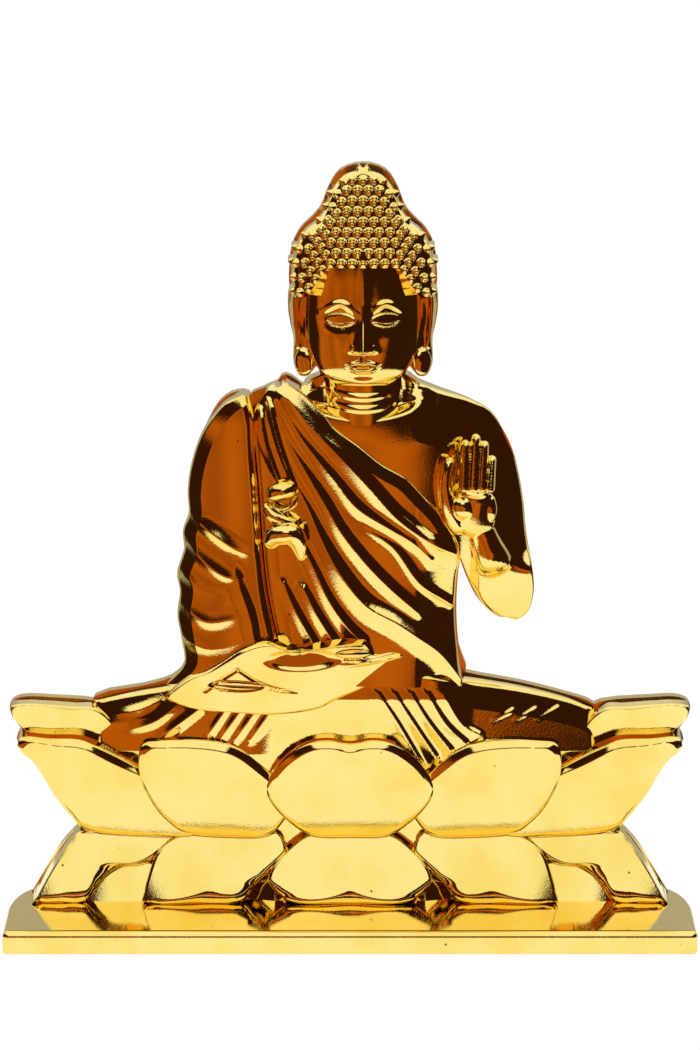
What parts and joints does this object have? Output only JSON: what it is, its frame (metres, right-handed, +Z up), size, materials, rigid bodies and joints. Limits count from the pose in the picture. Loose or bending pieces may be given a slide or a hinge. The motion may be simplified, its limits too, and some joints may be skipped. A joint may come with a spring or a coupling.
{
  "type": "seated buddha relief statue on a lotus base",
  "caption": "Small gold-plated seated figure in relief on a double lotus throne, fixed upright on a flat rectangular base plate, for a desk, shelf or dashboard.",
  "frame": {"origin": "centre of the base plate's underside, on the surface the statue stands on", "axes": "+Z up, +Y from the front of the figure to its flat back, +X to the right as seen from the front"},
  "size_m": [0.08, 0.02, 0.0893],
  "materials": {
    "gold_base": "polished",
    "gold_cover": "polished",
    "gold_petal": "polished",
    "gold_robe": "polished",
    "gold_skin": "polished",
    "gold_hair": "polished",
    "screw_steel": "satin"
  },
  "bodies": {
    "root": {"base_plate": "gold_base", "base_screws": "screw_steel", "back_cover": "gold_cover", "cover_screws": "screw_steel", "lotus_core": "gold_cover", "lower_petal_far_left": "gold_petal", "lower_petal_left": "gold_petal", "lower_petal_centre": "gold_petal", "lower_petal_right": "gold_petal", "lower_petal_far_right": "gold_petal", "between_petals": "gold_petal", "upper_petal_far_left": "gold_petal", "upper_petal_left": "gold_petal", "upper_petal_centre": "gold_petal", "upper_petal_right": "gold_petal", "upper_petal_far_right": "gold_petal", "rear_petal_left": "gold_petal", "rear_petal_right": "gold_petal", "crossed_legs": "gold_robe", "torso": "gold_skin", "robe": "gold_robe", "sleeve": "gold_robe", "robe_end": "gold_robe", "raised_forearm": "gold_skin", "lap_hands": "gold_skin", "head": "gold_skin", "hair_cap": "gold_hair"}
  },
  "joints": []
}
